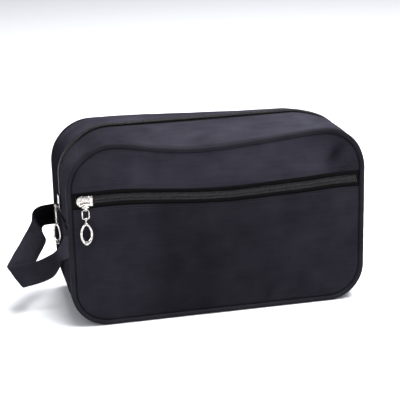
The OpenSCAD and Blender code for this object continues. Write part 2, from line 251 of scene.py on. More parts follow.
# Meshes
def add_object(name, bm, material):
    mesh = bpy.data.meshes.new(name)
    bm.to_mesh(mesh)
    bm.free()
    obj = bpy.data.objects.new(name, mesh)
    bpy.context.scene.collection.objects.link(obj)
    mesh.materials.append(material)
    for face in mesh.polygons:
        face.use_smooth = True
    return obj


def cloth_grid(cols, rows, flat, lift, closed=False):
    """A grid of cells. flat(u, v) is a corner's place (a, b) on the cut cloth, in metres, which is also its
    UV, and lift(a, b) is where that place of the cloth lies on the object."""
    bm = bmesh.new()
    uv = bm.loops.layers.uv.new("UVMap")
    bmesh.ops.create_grid(bm, x_segments=cols, y_segments=rows, size=0.5)
    for vert in bm.verts:
        a, b = flat(vert.co.x + 0.5, vert.co.y + 0.5)
        for loop in vert.link_loops:
            loop[uv].uv = (a, b)
        vert.co = lift(a, b)
    if closed:
        bmesh.ops.remove_doubles(bm, verts=bm.verts, dist=0.001 * MM)
        bmesh.ops.recalc_face_normals(bm, faces=bm.faces)
    return bm


def face_out(bm):
    """Turns a sheet so that its faces look away from the middle of the bag"""
    centre = Vector((0, 0, BAG_H / 2))
    total = sum(f.normal.dot(f.calc_center_median() - centre) * f.calc_area() for f in bm.faces)
    if total < 0:
        bmesh.ops.reverse_faces(bm, faces=bm.faces)


def sheet(name, cols, rows, flat, lift, material, thickness=CLOTH_T):
    """A sheet of cloth, with its outer face where lift puts it. With no thickness it stays a bare surface."""
    bm = cloth_grid(cols, rows, flat, lift)
    bm.normal_update()
    face_out(bm)
    obj = add_object(name, bm, material)
    return thicken(obj, thickness) if thickness else obj


def thicken(obj, thickness):
    """Gives a sheet its thickness, inwards from its outer face"""
    wall = obj.modifiers.new("cloth", "SOLIDIFY")
    wall.thickness = thickness
    wall.offset = -1
    return settle(obj)


def settle(obj):
    """Applies a piece's modifiers, and keeps its cut edges crisp"""
    graph = bpy.context.evaluated_depsgraph_get()
    mesh = bpy.data.meshes.new_from_object(obj.evaluated_get(graph))
    obj.modifiers.clear()
    obj.data = mesh
    mesh.set_sharp_from_angle(angle=CRISP_ANGLE)
    return obj


def ring_tube(name, cols, rows, length, path, material, across=BEAD_R, through=BEAD_R):
    """A tube along a closed path(t), with t from 0 to 1. path gives a point and two unit vectors across it"""

    def lift(a, b):
        angle = b / across
        middle, side, out = path(a / length)
        return middle + side * (across * math.cos(angle)) + out * (through * math.sin(angle))

    bm = cloth_grid(cols, rows, lambda u, v: (u * length, v * 2 * math.pi * across), lift, closed=True)
    return add_object(name, bm, material)


def keep_part(obj, name, keep):
    """A new object with only the faces whose cloth place (a, b) is kept"""
    mesh = obj.data.copy()
    bm = bmesh.new()
    bm.from_mesh(mesh)
    uv = bm.loops.layers.uv.active
    gone = []
    for face in bm.faces:
        a = sum(loop[uv].uv.x for loop in face.loops) / len(face.loops)
        b = sum(loop[uv].uv.y for loop in face.loops) / len(face.loops)
        if not keep(a, b):
            gone.append(face)
    bmesh.ops.delete(bm, geom=gone, context="FACES")
    bm.to_mesh(mesh)
    bm.free()
    part = bpy.data.objects.new(name, mesh)
    bpy.context.scene.collection.objects.link(part)
    return thicken(part, CLOTH_T)


def stitches(name, places):
    """A row of sewn stitches. Each place is a point, the way the stitch runs and the way out of the cloth."""
    bm = bmesh.new()
    for point, along, out in places:
        across = out.cross(along).normalized()
        turn = Matrix((along.normalized(), across, out.normalized())).transposed().to_4x4()
        size = Matrix.Diagonal((STITCH_LENGTH / 2, THREAD_D / 2, THREAD_D / 2.4, 1))
        place = Matrix.Translation(point) @ turn @ size
        bmesh.ops.create_icosphere(bm, subdivisions=1, radius=1, matrix=place)
    return add_object(name, bm, THREAD)


def stitch_row(name, start, end, lift):
    """Stitches from start to end along lift(a), which gives a place on the cloth and the way out of it"""
    count = max(2, int(abs(end - start) / STITCH_PITCH))
    step = (end - start) / count
    places = []
    for k in range(count):
        a = start + (k + 0.5) * step
        point, out = lift(a)
        ahead = lift(a + step / 4)[0]
        places.append((point, ahead - point, out))
    return stitches(name, places)


def stand_in(piece, slot_name, *nodes, body="root"):
    """Says which body a piece rides on and hides the CAD nodes it replaces; slot_name is not used."""
    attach(piece, body)
    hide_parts(*nodes)


# Materials
class Nodes:
    """A short way to write a material's nodes"""

    def __init__(self, name):
        self.material = bpy.data.materials.new(name)
        self.material.use_nodes = True
        self.tree = self.material.node_tree
        self.shader = self.tree.nodes["Principled BSDF"]

    def add(self, kind, **settings):
        node = self.tree.nodes.new(kind)
        for key, value in settings.items():
            setattr(node, key, value)
        return node

    def link(self, source, target):
        self.tree.links.new(source, target)

    def set(self, **values):
        for key, value in values.items():
            self.shader.inputs[key.replace("_", " ")].default_value = value

    def math(self, operation, first, second=None):
        node = self.add("ShaderNodeMath", operation=operation)
        for socket, value in zip(node.inputs, (first, second)):
            if isinstance(value, (int, float)):
                socket.default_value = value
            elif value is not None:
                self.link(value, socket)
        return node.outputs[0]

    def uv(self):
        """The piece's own cloth coordinates in metres, as x and y sockets"""
        place = self.add("ShaderNodeUVMap", uv_map="UVMap")
        parts = self.add("ShaderNodeSeparateXYZ")
        self.link(place.outputs["UV"], parts.inputs[0])
        return parts.outputs["X"], parts.outputs["Y"]

    def place(self):
        return self.add("ShaderNodeTexCoord").outputs["Object"]

    def noise(self, scale, detail=3.0, stretch=None):
        """Noise on Object coordinates. scale is the size of its grains in metres."""
        node = self.add("ShaderNodeTexNoise")
        node.inputs["Scale"].default_value = 1 / scale
        node.inputs["Detail"].default_value = detail
        source = self.place()
        if stretch:
            mapping = self.add("ShaderNodeMapping")
            mapping.inputs["Scale"].default_value = stretch
            self.link(source, mapping.inputs["Vector"])
            source = mapping.outputs["Vector"]
        self.link(source, node.inputs["Vector"])
        return node.outputs["Fac"]

    def between(self, factor, low, high):
        """Turns a 0..1 factor into a value from low to high"""
        node = self.add("ShaderNodeMapRange")
        node.inputs["To Min"].default_value = low
        node.inputs["To Max"].default_value = high
        self.link(factor, node.inputs["Value"])
        return node.outputs["Result"]

    def tint(self, factor, dark, light, with_painted_light_and_shade=False):
        ramp = self.add("ShaderNodeValToRGB")
        ramp.color_ramp.elements[0].position = 0.25
        ramp.color_ramp.elements[1].position = 0.75
        ramp.color_ramp.elements[0].color = (*dark, 1)
        ramp.color_ramp.elements[1].color = (*light, 1)
        self.link(factor, ramp.inputs["Fac"])
        colour = ramp.outputs["Color"]
        # the colour is scaled by the piece's painted light and shade, kept in a point attribute
        if with_painted_light_and_shade:
            painted_light_and_shade = self.add("ShaderNodeAttribute", attribute_name="painted_light_and_shade").outputs["Fac"]
            scale = self.add("ShaderNodeVectorMath", operation="SCALE")
            self.link(colour, scale.inputs[0])
            self.link(self.math("ADD", painted_light_and_shade, 1.0), scale.inputs["Scale"])
            colour = scale.outputs[0]
        self.link(colour, self.shader.inputs["Base Color"])

    def bump(self, height, distance, strength=1.0):
        node = self.add("ShaderNodeBump")
        node.inputs["Distance"].default_value = distance
        node.inputs["Strength"].default_value = strength
        self.link(height, node.inputs["Height"])
        self.link(node.outputs["Normal"], self.shader.inputs["Normal"])

    def weave(self, pitch):
        """Height of a plain weave: warp and weft threads that pass over each other in turn"""
        x, y = self.uv()
        u = self.math("MULTIPLY", x, math.pi / pitch)
        v = self.math("MULTIPLY", y, math.pi / pitch)
        warp = self.math("ABSOLUTE", self.math("SINE", u))
        weft = self.math("ABSOLUTE", self.math("SINE", v))
        half_u = self.math("ROUND", self.math("DIVIDE", u, math.pi))
        half_v = self.math("ROUND", self.math("DIVIDE", v, math.pi))
        over = self.math("PINGPONG", self.math("ADD", half_u, half_v), 1.0)
        under = self.math("SUBTRACT", 1.0, over)
        return self.math("ADD", self.math("MULTIPLY", warp, over), self.math("MULTIPLY", weft, under))


def nylon(name, dark, light, pitch=0.42 * MM, roughness=(0.46, 0.58), gloss=0.0):
    """Black nylon cloth with a satin nap: a fine weave, streaks along the weft and soft patches. Its colour
    is also scaled by the painted light and shade that each piece carries.
    """
    m = Nodes(name)
    m.set(Specular_IOR_Level=gloss)
    patches = m.noise(22 * MM, detail=4)
    streaks = m.noise(1.1 * MM, detail=3, stretch=(0.05, 0.05, 1.0))
    colour = m.math("ADD", m.math("MULTIPLY", patches, 0.68), m.math("MULTIPLY", streaks, 0.32))
    m.tint(colour, dark, light, with_painted_light_and_shade=True)
    m.link(m.between(patches, *roughness), m.shader.inputs["Roughness"])
    threads = m.weave(pitch)
    m.bump(m.math("ADD", threads, m.math("MULTIPLY", streaks, 0.45)), 0.035 * MM)
    return m.material


def ribbed_tape(name, dark, light):
    """Woven tape: a herringbone of fine ribs that run along it"""
    pitch = 0.8 * MM
    m = Nodes(name)
    m.set(Specular_IOR_Level=0.06)
    x, y = m.uv()
    leg = m.math("PINGPONG", m.math("DIVIDE", y, 2 * pitch), 1.0)
    slant = m.math("ADD", m.math("DIVIDE", x, pitch), leg)
    ribs = m.math("ABSOLUTE", m.math("SINE", m.math("MULTIPLY", slant, math.pi)))
    fuzz = m.noise(0.5 * MM, detail=2)
    m.tint(m.math("ADD", m.math("MULTIPLY", ribs, 0.5), m.math("MULTIPLY", fuzz, 0.5)), dark, light)
    m.link(m.between(fuzz, 0.6, 0.8), m.shader.inputs["Roughness"])
    m.bump(m.math("ADD", ribs, m.math("MULTIPLY", fuzz, 0.4)), 0.08 * MM)
    return m.material


def coil_plastic(name):
    """The coil's nylon wire: smooth, with fine drawing marks"""
    m = Nodes(name)
    m.set(Specular_IOR_Level=0.35)
    marks = m.noise(0.35 * MM, detail=2, stretch=(1, 1, 0.3))
    m.tint(marks, (0.006, 0.006, 0.0065), (0.016, 0.016, 0.017))
    m.link(m.between(marks, 0.2, 0.32), m.shader.inputs["Roughness"])
    m.bump(marks, 0.02 * MM)
    return m.material


def nickel_plate(name):
    """Polished plating: faint casting waves, small scuffs, and patches in its colour from light to dark
    brown, whose dark brown stands in for dark reflections of the surroundings: painted reflection
    """
    m = Nodes(name)
    m.set(Metallic=1.0)
    patches = m.noise(1.7 * MM, detail=3)
    scuffs = m.noise(0.4 * MM, detail=4, stretch=(1, 1, 0.25))
    # painted reflection: the dark brown end of the colour stands in for dark reflections
    m.tint(patches, (0.09, 0.068, 0.055), (0.82, 0.79, 0.76))
    m.link(m.between(scuffs, 0.1, 0.26), m.shader.inputs["Roughness"])
    m.bump(m.math("ADD", m.math("MULTIPLY", patches, 0.8), m.math("MULTIPLY", scuffs, 0.1)), 0.25 * MM)
    return m.material


def thread_material(name):
    """Twisted sewing thread"""
    m = Nodes(name)
    m.set(Specular_IOR_Level=0.2)
    strands = m.noise(0.25 * MM, detail=2)
    m.tint(strands, (0.005, 0.005, 0.006), (0.017, 0.0165, 0.019))
    m.link(m.between(strands, 0.5, 0.7), m.shader.inputs["Roughness"])
    m.bump(strands, 0.05 * MM)
    return m.material


def floor_material(name):
    """Smooth white paper"""
    m = Nodes(name)
    m.set(Specular_IOR_Level=0.2, Roughness=0.7)
    grain = m.noise(2 * MM, detail=2)
    m.tint(grain, (0.86, 0.87, 0.89), (0.88, 0.89, 0.91))
    m.bump(grain, 0.02 * MM, 0.3)
    return m.material


SHELL = nylon("shell_nylon", (0.0104, 0.0099, 0.0138), (0.0206, 0.0198, 0.0258))
STRAP = nylon("strap_nylon", (0.0112, 0.0107, 0.0146), (0.0224, 0.0216, 0.0278), roughness=(0.42, 0.52))
PIPING = nylon("piping_nylon", (0.008, 0.0077, 0.0102), (0.0162, 0.0157, 0.0198), roughness=(0.36, 0.46),
               gloss=0.02)
LINING = nylon("lining_taffeta", (0.03, 0.03, 0.034), (0.042, 0.042, 0.047), 0.3 * MM, roughness=(0.5, 0.6))
BINDING = ribbed_tape("binding_tape", (0.006, 0.006, 0.007), (0.014, 0.014, 0.016))
TAPE = ribbed_tape("zip_tape", (0.0016, 0.0016, 0.0018), (0.0046, 0.0046, 0.005))
COIL = coil_plastic("zip_coil")
NICKEL = nickel_plate("polished_nickel")
THREAD = thread_material("sewing_thread")


# Painted light and shade on the cloth, from place to place: how much lighter or darker its colour is made
# where light falls or shade lies
LOWER_PAINTED_SHADE = knots_mm((-125, -0.04), (-96, -0.1), (-74, -0.12), (-48, -0.38), (-16, -0.38), (40, -0.24),
                      (90, -0.12), (125, -0.04))
UPPER_PAINTED_LIGHT = knots_mm((-120, 0.0), (-72, 0.34), (-30, 0.38), (40, 0.55), (84, 0.5), (112, 0.0))
TOP_PAINTED_LIGHT_AND_SHADE = knots_mm((-110, -0.05), (-85, 0.05), (-50, 0.5), (10, 0.55), (60, 0.85), (95, 0.95), (120, 0.5))


# Painted light on the upper panel, painted shade across the pocket below it and along the deepest folds
def front_painted_light_and_shade(p):
    over = ease((p.z - 108 * MM) / (10 * MM))
    return LOWER_PAINTED_SHADE(p.x) * (1 - over) + UPPER_PAINTED_LIGHT(p.x) * over - folds_at(FOLD_PAINTED_SHADE, p.x, p.z)


def loop_end_painted_light_and_shade(p):
    """Painted light and shade at the loop's end: the front half of the gusset is painted lighter than the
    back half
    """
    across = max(-1.0, min(1.0, p.y / (14 * MM)))
    return ease((-104 * MM - p.x) / (20 * MM)) * (0.04 - 0.34 * across)


# Painted light on the top, growing towards the top, and more on the back half towards the loop's end
def top_painted_light_and_shade(p):
    behind = 0.55 * ease(p.y / (10 * MM)) * ease((-20 * MM - p.x) / (50 * MM))
    return (TOP_PAINTED_LIGHT_AND_SHADE(p.x) + behind) * ease((p.z - 130 * MM) / (22 * MM)) + loop_end_painted_light_and_shade(p)


# Painted shade low on the gusset at the loop's end, added to the loop end's painted light and shade
def side_painted_light_and_shade(p):
    return loop_end_painted_light_and_shade(p) - (0.3 * ease((80 * MM - p.z) / (30 * MM)) if p.x < 0 else 0.0)


# Keeps a piece's painted light and shade as a point attribute, which scales its cloth's colour
def set_painted_light_and_shade(obj, painted_light_and_shade_at):
    values = [painted_light_and_shade_at(v.co) for v in obj.data.vertices]
    obj.data.attributes.new("painted_light_and_shade", "FLOAT", "POINT").data.foreach_set("value", values)


# The panels of the front and the back
SEAM_DEPTH = 2 * BEAD_R - 0.05 * MM
SEAM_ROLL = 2.2 * MM
SEAM_DROP = 1.3 * MM


def seam_roll(depth):
    """How far a panel dips where it turns into its seam at the piping"""
    t = clamp((depth - SEAM_DEPTH) / SEAM_ROLL)
    return SEAM_DROP * (1 - math.sqrt(1 - (1 - t) ** 2))


def hem_wrap(b, edge):
    """Place and depth across a hem: b runs straight to the edge, round it and back underneath"""
    start = edge - HEM_R
    past = b - start
    if past <= 0:
        return b, 0.0
    angle = past / HEM_R
    if angle <= math.pi:
        return start + HEM_R * math.sin(angle), HEM_R * (1 - math.cos(angle))
    return start - (past - math.pi * HEM_R), 2 * HEM_R


def hem_length(edge):
    """Where the turned-under end of a hem lies on the cut cloth"""
    return edge - HEM_R + math.pi * HEM_R + HEM_TURN


def puckers(along, depth, pitch=6.5 * MM, amount=0.12 * MM):
    """Small ripples that a seam draws into the cloth next to it"""
    wave = noise.noise(Vector((along / pitch, depth / (4 * pitch), 7.3)))
    return amount * wave * bell(depth, 5 * MM)


def folds_at(table, x, z):
    """Adds up the straight soft folds of a table at a place. Each has a start, an end and a width, in
    millimetres, and a height."""
    x, z = x / MM, z / MM
    total = 0.0
    for (ax, az), (bx, bz), width, height in table:
        dx, dz = bx - ax, bz - az
        length = math.hypot(dx, dz)
        t = ((x - ax) * dx + (z - az) * dz) / length ** 2
        off = ((x - ax) * dz - (z - az) * dx) / length
        fade = ease(1.2 * t + 0.2) * ease(1.4 - 1.2 * t)
        total += height * fade * bell(off, width)
    return total


# Painted shade along the front's deepest folds: start, end and width in millimetres, and how dark
FOLD_PAINTED_SHADE = [
    ((113, 146), (93, 121), 4.2, 0.72),
    ((40, 4), (47, 18), 3.5, 0.3),
]

# Soft folds of the front: start, end, width and height above the cloth, all in millimetres
FRONT_FOLDS = [
    ((114, 148), (91, 122), 3.2, -3.4),
    ((101, 152), (78, 126), 6.0, 2.0),
    ((121, 140), (104, 116), 5.5, 1.8),
    ((-92, 150), (-82, 118), 9.0, 1.8),
    ((-62, 150), (-56, 120), 6.0, -1.0),
    ((-44, 127), (44, 122), 4.0, -0.9),
    ((-50, 139), (40, 134), 8.0, 1.0),
    ((62, 144), (84, 124), 6.0, -1.0),
    ((40, 8), (50, 22), 3.0, -1.8),
    ((57, 6), (62, 24), 4.0, 1.4),
    ((24, 10), (30, 22), 4.0, 0.8),
    ((-64, 108), (-72, 2), 26.0, 3.0),
    ((-108, 80), (-112, 14), 9.0, -0.8),
    ((40, 104), (52, 4), 44.0, -2.2),
    ((-20, 86), (-34, 30), 12.0, -0.5),
    ((96, 80), (88, 24), 12.0, 0.6),
]


# How the upper panel and the pocket puff out, from the base up
FRONT_SWELLS = [(2.8, 126, 9, 33), (4, 82, 84, 26)]


def front_puff(x, z):
    """How far the front bulges out of its flat plane"""
    depth = depth_at(x, z)
    inner = ease((depth - SEAM_DEPTH) / (36 * MM))
    edge = ease((depth - SEAM_DEPTH) / (8 * MM))
    soft = ripple((x, 0, z), 38 * MM, PUFF) + ripple((x + 0.1, 0, z), 14 * MM, 0.3 * PUFF)
    # the cloth lies calm along the zip's window, and flat at both ends of the slider's run
    calm = ease(min(abs(z - WINDOW_LOW), abs(z - WINDOW_HIGH)) / (6 * MM))
    flat = 1 - 0.8 * hump(abs(x), 115 * MM, 20 * MM, 20 * MM)
    folds = MM * folds_at(FRONT_FOLDS, x, z)
    return inner * rises(FRONT_SWELLS, z) * flat + edge * calm * (folds + soft) + puckers(x + z, depth)


def front_surface(x, z, depth=0.0):
    """A place on the front, at a depth below the cloth"""
    y = PANEL_Y - seam_roll(depth_at(x, z)) + front_puff(x, z) - depth
    return soften((x, -y, z))


def back_surface(x, z):
    """A place on the back, which is one plain panel"""
    inside = depth_at(x, z)
    inner = ease((inside - SEAM_DEPTH) / (45 * MM))
    edge = ease((inside - SEAM_DEPTH) / (8 * MM))
    soft = ripple((x, 0.3, z), 40 * MM, 1.6 * PUFF) + ripple((x, 0.6, z), 15 * MM, 0.4 * PUFF)
    puff = inner * rises([(3.6, 75, 90, 100)], z) + edge * soft
    y = PANEL_Y - seam_roll(inside) + puff + puckers(x - z, inside)
    return soften((x, y, z))


def dent(b, edge):
    """The line that the topstitching presses into the cloth next to a hem"""
    return 0.22 * MM * bell(abs(b - edge) - STITCH_IN, 0.55 * MM)


def front_upper_panel():
    top = BAG_H - SEAM_DEPTH
    hem = -WINDOW_HIGH

    def flat(u, v):
        b = knots((0, -top), (0.12, -top + 1.5 * MM), (0.3, -top + 7 * MM), (0.72, hem - 5 * MM),
                  (1, hem_length(hem)))(v)
        z = -hem_wrap(b, hem)[0]
        return (2 * dense_ends(u) - 1) * half_width(min(z, top), SEAM_DEPTH), b

    def lift(a, b):
        place, depth = hem_wrap(b, hem)
        return front_surface(a, -place, depth + dent(b, hem))

    piece = sheet("front_upper_panel_cloth", 96, 44, flat, lift, SHELL)
    set_painted_light_and_shade(piece, front_painted_light_and_shade)
    stand_in(piece, "shell_nylon", "front_upper_panel")


def pocket_panel():
    base = SEAM_DEPTH

    def flat(u, v):
        b = knots((0, base), (0.08, base + 1.5 * MM), (0.25, base + 16 * MM), (0.78, WINDOW_LOW - 6 * MM),
                  (1, hem_length(WINDOW_LOW)))(v)
        z = hem_wrap(b, WINDOW_LOW)[0]
        return (2 * dense_ends(u) - 1) * half_width(max(z, base), SEAM_DEPTH), b

    def lift(a, b):
        place, depth = hem_wrap(b, WINDOW_LOW)
        return front_surface(a, place, depth + dent(b, WINDOW_LOW))

    piece = sheet("pocket_panel_cloth", 96, 60, flat, lift, SHELL)
    set_painted_light_and_shade(piece, front_painted_light_and_shade)
    stand_in(piece, "shell_nylon", "pocket_panel")


def plain_panel(name, node, slot_name, material, surface, inset, rows=56):
    """A whole panel with no opening"""
    low, high = inset, BAG_H - inset

    def flat(u, v):
        z = low + (high - low) * dense_ends(v, 0.8)
        return (2 * dense_ends(u) - 1) * half_width(z, inset), z

    piece = sheet(name, 90, rows, flat, surface, material)
    stand_in(piece, slot_name, node)


def backing_surface(x, z):
    """A place on the inner wall of the pocket, which hangs a little slack"""
    slack = 2.5 * MM * ease(depth_at(x, z) / (40 * MM)) + ripple((x, 0.9, z), 35 * MM, 0.8 * MM)
    return soften((x, -BACKING_Y + slack, z))


def back_lining_surface(x, z):
    """A place on the lining, a little inside the back panel"""
    place = back_surface(x, z)
    place.y -= 2.2 * MM
    return place


def gusset_lining():
    end = GUSSET_END - 8 * MM

    def flat(u, v):
        return (2 * u - 1) * end, (2 * v - 1) * BACKING_Y

    def lift(a, b):
        relief = ripple((a, b, 6.6), 24 * MM, 0.5 * MM)
        return soften(rim(a, LINING_DEPTH + relief, b))

    piece = sheet("gusset_lining_cloth", 120, 24, flat, lift, LINING, LINING_T)
    stand_in(piece, "lining", "gusset_lining")


def window_stitches():
    """Topstitching above and below the pocket zip"""
    for word, z in (("upper", WINDOW_HIGH + STITCH_IN), ("lower", WINDOW_LOW - STITCH_IN)):
        reach = half_width(z, SEAM_DEPTH) - 1.5 * MM
        row = stitch_row(f"{word}_window_stitches", -reach, reach,
                         lambda a: (front_surface(a, z, 0.08 * MM), Vector((0, -1, 0))))
        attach(row, "root")


# The piping and the bound seams behind it
def rim_path(y, depth, wobble=0.0):
    """The closed way round the outline at a depth, for a bead or a bound seam"""

    def path(t):
        s = (2 * t - 1) * HALF_RIM if t < 1 else -HALF_RIM
        on, under = rim(s, 0, y), rim(s, depth, y)
        out = (on - under).normalized()
        shift = wobble * noise.noise(Vector((s / (9 * MM), y, 1.7)))
        return soften(under + out * shift), out, Vector((0, 1, 0))

    return path


def piping(word, side):
    path = rim_path(side * BEAD_Y, BEAD_R, 0.18 * MM)
    bead = ring_tube(f"{word}_piping_bead", 520, 14, 2 * HALF_RIM, path, PIPING)
    stand_in(bead, "piping_nylon", f"{word}_piping")


def binding(word, side):
    path = rim_path(side * BINDING_Y, 2 * BEAD_R + BINDING_HALF + 0.2 * MM)
    tape = ring_tube(f"{word}_binding_tape", 260, 16, 2 * HALF_RIM, path, BINDING,
                     across=BINDING_HALF, through=BINDING_T / 2)
    stand_in(tape, "binding_tape", f"{word}_binding")


# The gusset and the zip's strips
def edge_depth(y, surface_depth=0.0):
    """Depth of the gusset's cloth at a distance y from the middle: it dips into the seam at the piping"""
    t = clamp((BEAD_Y - BEAD_R - abs(y)) / SEAM_ROLL)
    return surface_depth + (1.7 * MM - surface_depth * 0.3) * (1 - math.sqrt(1 - (1 - t) ** 2))


# Folds of the gusset at the loop's end, along Y and Z: they run in from the piping, above and below the strap
SIDE_FOLDS = [
    ((-50, 102), (-12, 81), 2.6, -1.2),
    ((-50, 94), (-16, 80), 3.0, 1.0),
    ((-48, 78), (-14, 76), 2.6, -0.9),
    ((-46, 126), (-24, 108), 3.0, 1.0),
    ((-44, 118), (-26, 100), 2.4, -0.9),
    ((-48, 44), (-20, 30), 4.0, 1.2),
    ((-48, 36), (-24, 20), 3.0, -1.0),
    ((44, 100), (20, 82), 4.0, 0.8),
    ((46, 52), (20, 36), 5.0, 0.9),
]


def gusset_relief(s, y):
    """Soft unevenness of the gusset: broad waves, puckers at the piping, and folds at the loop's end"""
    inside = BEAD_Y - BEAD_R - abs(y)
    soft = ripple((s, y, 3.1), 30 * MM, 0.9 * PUFF) + ripple((s, y, 5.2), 11 * MM, 0.3 * PUFF)
    if s < -BASE_RUN:
        soft += MM * folds_at(SIDE_FOLDS, y, rim(s, 0, 0).z)
    return ease(inside / (7 * MM)) * soft + puckers(s, inside, pitch=5 * MM, amount=0.16 * MM)


GUSSET_EDGE_Y = BEAD_Y - BEAD_R - 0.05 * MM
GUSSET_END = BASE_RUN + BASE_ARC + ZIP_END_Z - BASE_R


def base_gusset():
    turned = hem_length(GUSSET_END)

    def flat(u, v):
        side = 1 if u >= 0.5 else -1
        s = knots((0, 0), (0.9, GUSSET_END - 6 * MM), (1, turned))(abs(2 * u - 1))
        return side * s, (2 * dense_ends(v) - 1) * GUSSET_EDGE_Y

    def lift(a, b):
        side = 1 if a >= 0 else -1
        s, depth = hem_wrap(abs(a), GUSSET_END)
        z = rim(s, 0, 0).z
        relief = gusset_relief(a, b) * ease(z / (20 * MM))
        return soften(rim(side * s, depth + edge_depth(b) + dent(abs(a), GUSSET_END) - relief, b))

    piece = sheet("base_gusset_cloth", 180, 40, flat, lift, SHELL, GUSSET_T)
    set_painted_light_and_shade(piece, side_painted_light_and_shade)
    stand_in(piece, "shell_nylon", "base_gusset")


STRIP_RUN = top_run(ZIP_END_Z) + 4 * MM
SEAM_ZONE_W = GUSSET_EDGE_Y - SEAM_ZONE_Y
FLAP_BLEND = (FLAP_END, FLAP_FULL_X)
ENDS = (("left", -1), ("right", 1))


def tuck(r):
    """How deep the zip's strips dip under the gusset's hem at their lower ends"""
    return 1.4 * MM * ease((abs(r) - STRIP_RUN + 7 * MM) / (4 * MM))


def strip_place(side, r, b):
    """A place on the strip in front of (side -1) or behind (side 1) the top zip, at b from the middle"""
    place, depth = hem_wrap(-b, -STRIP_EDGE_Y)
    y = -place
    turned = math.copysign(HALF_RIM - abs(r), r)
    relief = gusset_relief(turned, side * y) * ease((y - STRIP_EDGE_Y) / (5 * MM))
    sink = edge_depth(y, STRIP_DEPTH) + depth + dent(-b, -STRIP_EDGE_Y) + tuck(r) - relief
    return soften(over_top(r, sink, side * y))


def flap_blend(piece, end):
    """Bakes the piece's transform into its mesh. The places where it would follow the corner and the flap are
    worked out, but nothing uses them.
    """
    start, whole = [(end * x, 0, BAG_H) for x in FLAP_BLEND]
    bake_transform(piece)
    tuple(start)
    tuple(whole)


def seam_blend(piece):
    """Bakes the piece's transform into its mesh"""
    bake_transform(piece)


def out_of_top(r):
    """The way out of the bag at a distance r from the middle of the top"""
    return (over_top(r, 0, 0) - over_top(r, 1 * MM, 0)).normalized()


def top_strips(word, side):
    """The strip on one side of the top zip, cut into parts along the seam zone's line and across it at the
    middle and at FLAP_FULL_X
    """
    rows = knots((0, GUSSET_EDGE_Y), (0.12, GUSSET_EDGE_Y - 2.4 * MM), (0.3, SEAM_ZONE_Y),
                 (0.7, STRIP_EDGE_Y + 6 * MM), (1, -hem_length(-STRIP_EDGE_Y)))
    cols = knots((0, -STRIP_RUN), (0.3, -FLAP_END), (0.42, -FLAP_FULL_X), (0.5, 0),
                 (0.58, FLAP_FULL_X), (0.7, FLAP_END), (1, STRIP_RUN))
    whole = sheet(f"strip_{word}", 200, 40, lambda u, v: (cols(u), rows(v)),
                  lambda a, b: strip_place(side, a, b), SHELL, thickness=0)
    parts = []
    for end_name, end in ENDS:
        inner = keep_part(whole, f"top_strip_{word}_{end_name}",
                          lambda a, b: a * end > 0 and b < SEAM_ZONE_Y)
        flap_blend(inner, end)
        inner_w = SEAM_ZONE_Y - STRIP_EDGE_Y + HEM_TURN
        parts.append((inner, (STRIP_RUN, inner_w)))
        outer = keep_part(whole, f"top_strip_{word}_seam_{end_name}",
                          lambda a, b: a * end > FLAP_FULL_X and b > SEAM_ZONE_Y)
        seam_blend(outer)
        parts.append((outer, (STRIP_RUN - FLAP_FULL_X, SEAM_ZONE_W)))
    middle = keep_part(whole, f"top_strip_{word}_seam_middle",
                       lambda a, b: abs(a) < FLAP_FULL_X and b > SEAM_ZONE_Y)
    seam_blend(middle)
    parts.append((middle, (2 * FLAP_FULL_X, SEAM_ZONE_W)))
    bpy.data.objects.remove(whole)
    for part, size in parts:
        set_painted_light_and_shade(part, top_painted_light_and_shade)
    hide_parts(f"end_strips_{word}", f"top_strip_{word}")
    for end_name, end in ENDS:
        row = stitch_row(f"top_stitches_{word}_{end_name}", end * 1 * MM, end * (STRIP_RUN - 8 * MM),
                         lambda r: top_stitch(side, r))
        flap_blend(row, end)


def top_stitch(side, r):
    out = out_of_top(r)
    return strip_place(side, r, STRIP_EDGE_Y + STITCH_IN) + out * 0.1 * MM, out


# The zips
def ride_up(r):
    """How far the top zip stands up between its strips, along the straight top and down to the slider"""
    return 1.1 * MM * ease((FLAP_END + 26 * MM - abs(r)) / (20 * MM))


def top_tape(word, side):
    def lift(a, b):
        depth = TAPE_DEPTH + 0.8 * tuck(a) - ride_up(a)
        return soften(over_top(a, depth, side * b))

    for end_name, end in ENDS:
        piece = sheet(f"top_tape_{word}_{end_name}", 110, 8,
                      lambda u, v: (end * u * STRIP_RUN, TAPE_GAP + v * TAPE_EDGE_Y), lift, TAPE, TAPE_T)
        flap_blend(piece, end)
        if end < 0:
            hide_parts(f"end_tape_{word}", f"top_tape_{word}")


def coil(name, length, guide, phase):
    """Half of a zip's chain: a flattened coil. At a distance a along it, guide(a) gives the chain's middle,
    the way to this half and the way out of the bag."""
    turns = round(length / COIL_PITCH)
    steps, sides = 9, 5

    def path(t):
        angle = 2 * math.pi * (t * turns + phase)
        lean = 0.32 * COIL_PITCH * math.sin(angle)
        middle, across, out = guide(t * length + lean)
        spread = math.copysign(abs(math.cos(angle)) ** 0.8, math.cos(angle))
        return (middle + across * (COIL_HALF - COIL_MESH - COIL_HALF * spread)
                + out * (COIL_HIGH * math.sin(angle)))

    def lift(a, b):
        t = a / length
        here, ahead = path(t), path(t + 0.1 / turns)
        along = (ahead - here).normalized()
        side = along.cross(guide(a)[2]).normalized()
        up = side.cross(along)
        angle = b / COIL_WIRE
        return here + (side * math.cos(angle) + up * math.sin(angle)) * COIL_WIRE

    def flat(u, v):
        return u * length, v * 2 * math.pi * COIL_WIRE

    bm = cloth_grid(turns * steps, sides, flat, lift, closed=True)
    bmesh.ops.holes_fill(bm, edges=[e for e in bm.edges if e.is_boundary], sides=0)
    bmesh.ops.recalc_face_normals(bm, faces=bm.faces)
    piece = add_object(name, bm, COIL)
    return piece


